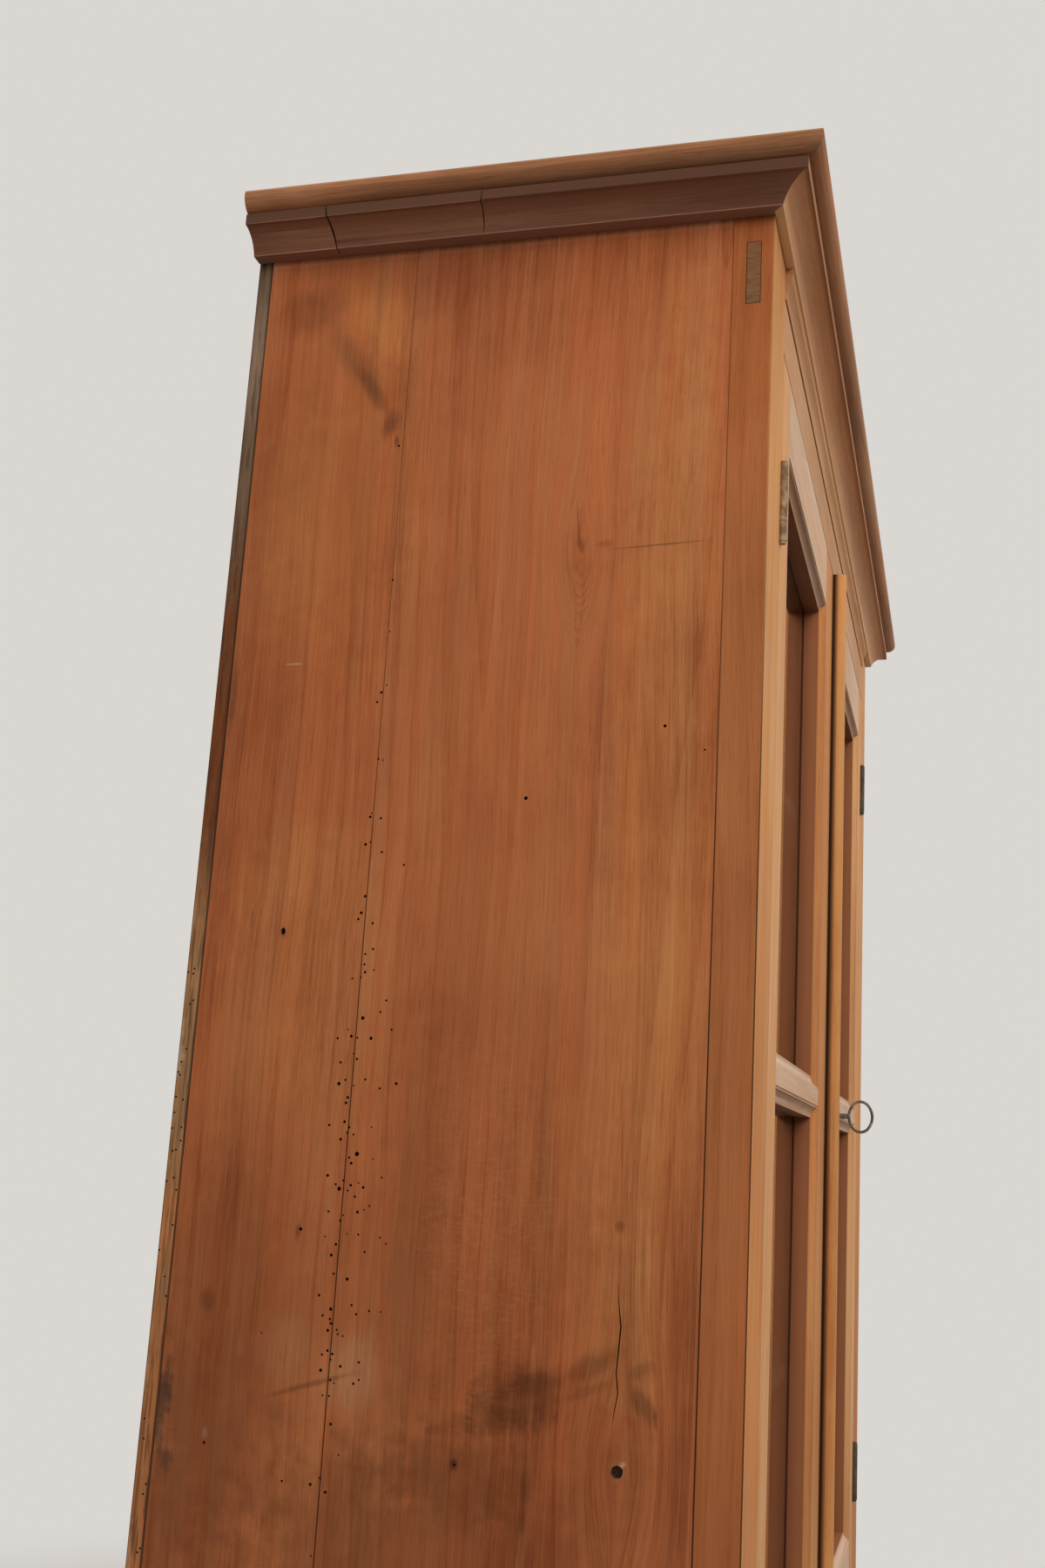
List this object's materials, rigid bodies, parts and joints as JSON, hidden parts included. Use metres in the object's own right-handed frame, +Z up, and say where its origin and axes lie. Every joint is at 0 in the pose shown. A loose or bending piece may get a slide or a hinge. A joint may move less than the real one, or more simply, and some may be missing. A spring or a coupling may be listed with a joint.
{
  "type": "glazed cupboard",
  "caption": "Free-standing wooden cupboard with flush glazed doors on butt hinges, shelves inside, a moulded cornice and a lock with its key.",
  "frame": {"origin": "middle of the overall box, on the floor", "axes": "+Z up, -Y towards the doors' front, +X to the right as seen from the front"},
  "size_m": [1.289, 0.499, 1.53],
  "materials": {
    "case_wood": "old waxed fruitwood, reddish brown",
    "door_wood": "old waxed fruitwood, lighter tan",
    "cornice_wood": "old waxed fruitwood, darkened",
    "inner_wood": "unfinished, greyed boards",
    "pane_glass": "clear old glass",
    "old_brass": "patinated",
    "old_iron": "worn, dark"
  },
  "bodies": {
    "case": {"left_front_post": "case_wood", "right_front_post": "case_wood", "frieze_rail": "case_wood", "bottom_rail": "case_wood", "left_side_plank_front": "case_wood", "left_side_plank_rear": "case_wood", "right_side_plank_front": "case_wood", "right_side_plank_rear": "case_wood", "top_board": "inner_wood", "bottom_board": "inner_wood", "lower_shelf": "inner_wood", "middle_shelf": "inner_wood", "upper_shelf": "inner_wood", "left_cleats": "inner_wood", "right_cleats": "inner_wood", "door_stops": "inner_wood", "back_plank_1": "inner_wood", "back_plank_2": "inner_wood", "back_plank_3": "inner_wood", "back_plank_4": "inner_wood", "back_nails": "old_iron", "crown_front": "cornice_wood", "crown_left": "cornice_wood", "crown_right": "cornice_wood", "cove_front": "cornice_wood", "cove_left": "cornice_wood", "cove_right": "cornice_wood", "frieze_moulding": "cornice_wood", "hinge_frame_leaves": "old_brass", "hinge_pins": "old_brass", "case_hinge_screws": "old_iron"},
    "left_door": {"left_hinge_stile": "door_wood", "left_lock_stile": "door_wood", "left_top_rail": "door_wood", "left_mid_rail": "door_wood", "left_bottom_rail": "door_wood", "left_upper_glass": "pane_glass", "left_lower_glass": "pane_glass", "left_glazing_beads": "door_wood", "left_hinge_door_leaves": "old_brass", "left_door_screws": "old_iron", "strike_keeper": "old_iron", "bolt_guides": "old_iron"},
    "right_door": {"right_hinge_stile": "door_wood", "right_lock_stile": "door_wood", "right_top_rail": "door_wood", "right_mid_rail": "door_wood", "right_bottom_rail": "door_wood", "right_upper_glass": "pane_glass", "right_lower_glass": "pane_glass", "right_glazing_beads": "door_wood", "right_hinge_door_leaves": "old_brass", "right_door_screws": "old_iron", "astragal": "door_wood", "lock_case": "old_iron", "escutcheon": "old_brass"},
    "key": {"key": "old_iron"},
    "lock_bolt": {"lock_bolt": "old_iron"},
    "top_bolt": {"top_bolt": "old_iron"},
    "bottom_bolt": {"bottom_bolt": "old_iron"}
  },
  "joints": [
    {"name": "left_door_swing", "type": "hinge", "parent": "case", "child": "left_door", "pos_m": [-0.52, -0.2023, 0.807], "axis": [0, 0, -1], "range_deg": [0, 170]},
    {"name": "right_door_swing", "type": "hinge", "parent": "case", "child": "right_door", "pos_m": [0.52, -0.2023, 0.807], "axis": [0, 0, 1], "range_deg": [0, 170]},
    {"name": "key_turn", "type": "hinge", "parent": "right_door", "child": "key", "pos_m": [0.03725, -0.2005, 0.7965], "axis": [0, -1, 0], "range_deg": [0, 360]},
    {"name": "lock_bolt_slide", "type": "slide", "parent": "right_door", "child": "lock_bolt", "axis": [-1, 0, 0], "range_m": [0, 0.018]},
    {"name": "top_bolt_slide", "type": "slide", "parent": "left_door", "child": "top_bolt", "axis": [0, 0, 1], "range_m": [0, 0.024]},
    {"name": "bottom_bolt_slide", "type": "slide", "parent": "left_door", "child": "bottom_bolt", "axis": [0, 0, -1], "range_m": [0, 0.024]}
  ],
  "couplings": [
    {"joint": "lock_bolt_slide", "follows": "key_turn", "m_per_rad": 0.0028647}
  ]
}
